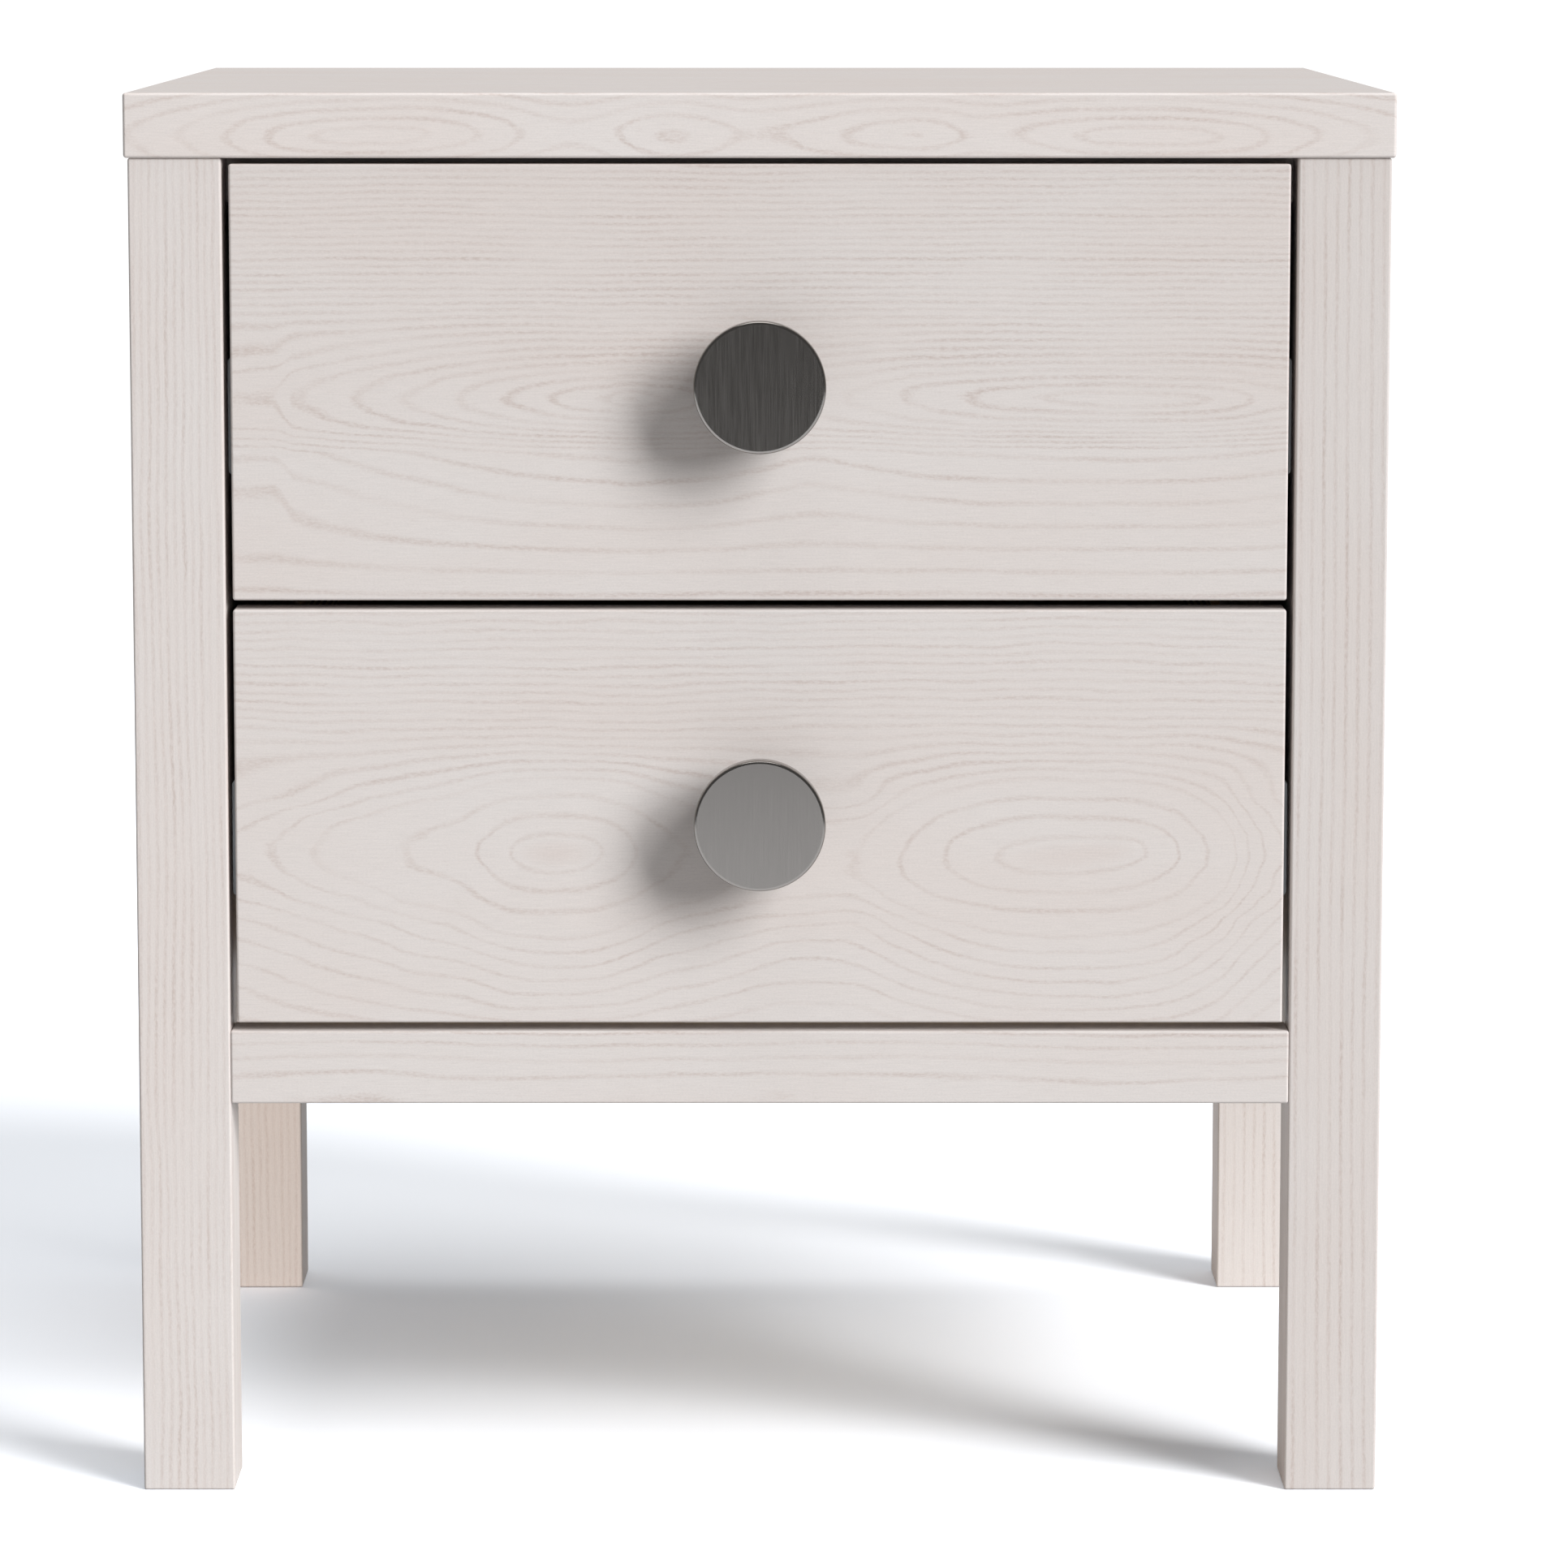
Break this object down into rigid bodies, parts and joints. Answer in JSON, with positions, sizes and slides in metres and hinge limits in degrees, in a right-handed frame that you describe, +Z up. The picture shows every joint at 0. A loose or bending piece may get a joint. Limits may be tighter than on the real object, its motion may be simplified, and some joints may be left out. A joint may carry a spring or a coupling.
{
  "type": "nightstand with drawers",
  "caption": "Square-legged bedside cabinet with a slab top, inset drawers on full-extension ball-bearing slides, and round metal knobs.",
  "frame": {"origin": "on the floor, under the middle of the closed nightstand's bounding box, knobs included", "axes": "+Z up, -Y the way the drawers open, +X to the right of someone facing the drawers"},
  "size_m": [0.49, 0.4444, 0.55],
  "materials": {
    "washed_ash": "open-grain ash under a thin matt white wash, with slightly eased edges",
    "birch_plywood": "thin clear matt lacquer",
    "satin_gunmetal": "dark satin plating over fine straight brushing",
    "zinc_steel": "bright zinc plate on pressed steel"
  },
  "bodies": {
    "case": {"back_left_leg": "washed_ash", "back_panel": "birch_plywood", "back_right_leg": "washed_ash", "front_bottom_rail": "washed_ash", "front_left_leg": "washed_ash", "front_right_leg": "washed_ash", "front_top_rail": "washed_ash", "left_front_top_bracket": "zinc_steel", "left_rear_top_bracket": "zinc_steel", "left_side_panel": "washed_ash", "lower_left_cabinet_slide": "zinc_steel", "lower_left_runner_batten": "birch_plywood", "lower_right_cabinet_slide": "zinc_steel", "lower_right_runner_batten": "birch_plywood", "rear_bottom_rail": "washed_ash", "rear_top_rail": "washed_ash", "right_front_top_bracket": "zinc_steel", "right_rear_top_bracket": "zinc_steel", "right_side_panel": "washed_ash", "top_panel": "washed_ash", "upper_left_cabinet_slide": "zinc_steel", "upper_left_runner_batten": "birch_plywood", "upper_right_cabinet_slide": "zinc_steel", "upper_right_runner_batten": "birch_plywood"},
    "upper_drawer": {"upper_box_back": "birch_plywood", "upper_box_bottom": "birch_plywood", "upper_box_front": "birch_plywood", "upper_box_left_side": "birch_plywood", "upper_box_right_side": "birch_plywood", "upper_drawer_front": "washed_ash", "upper_front_screw_1": "zinc_steel", "upper_front_screw_2": "zinc_steel", "upper_front_screw_3": "zinc_steel", "upper_front_screw_4": "zinc_steel", "upper_knob": "satin_gunmetal", "upper_knob_screw": "zinc_steel", "upper_left_drawer_slide": "zinc_steel", "upper_right_drawer_slide": "zinc_steel"},
    "lower_drawer": {"lower_box_back": "birch_plywood", "lower_box_bottom": "birch_plywood", "lower_box_front": "birch_plywood", "lower_box_left_side": "birch_plywood", "lower_box_right_side": "birch_plywood", "lower_drawer_front": "washed_ash", "lower_front_screw_1": "zinc_steel", "lower_front_screw_2": "zinc_steel", "lower_front_screw_3": "zinc_steel", "lower_front_screw_4": "zinc_steel", "lower_knob": "satin_gunmetal", "lower_knob_screw": "zinc_steel", "lower_left_drawer_slide": "zinc_steel", "lower_right_drawer_slide": "zinc_steel"},
    "upper_middle_slides": {"upper_left_middle_slide": "zinc_steel", "upper_right_middle_slide": "zinc_steel"},
    "lower_middle_slides": {"lower_left_middle_slide": "zinc_steel", "lower_right_middle_slide": "zinc_steel"}
  },
  "joints": [
    {"name": "upper_drawer_slide", "type": "slide", "parent": "case", "child": "upper_drawer", "axis": [0, -1, 0], "range_m": [0, 0.34]},
    {"name": "lower_drawer_slide", "type": "slide", "parent": "case", "child": "lower_drawer", "axis": [0, -1, 0], "range_m": [0, 0.34]},
    {"name": "upper_middle_slide", "type": "slide", "parent": "case", "child": "upper_middle_slides", "axis": [0, -1, 0], "range_m": [0, 0.17]},
    {"name": "lower_middle_slide", "type": "slide", "parent": "case", "child": "lower_middle_slides", "axis": [0, -1, 0], "range_m": [0, 0.17]}
  ],
  "couplings": [
    {"joint": "upper_middle_slide", "follows": "upper_drawer_slide", "ratio": 0.5},
    {"joint": "lower_middle_slide", "follows": "lower_drawer_slide", "ratio": 0.5}
  ]
}
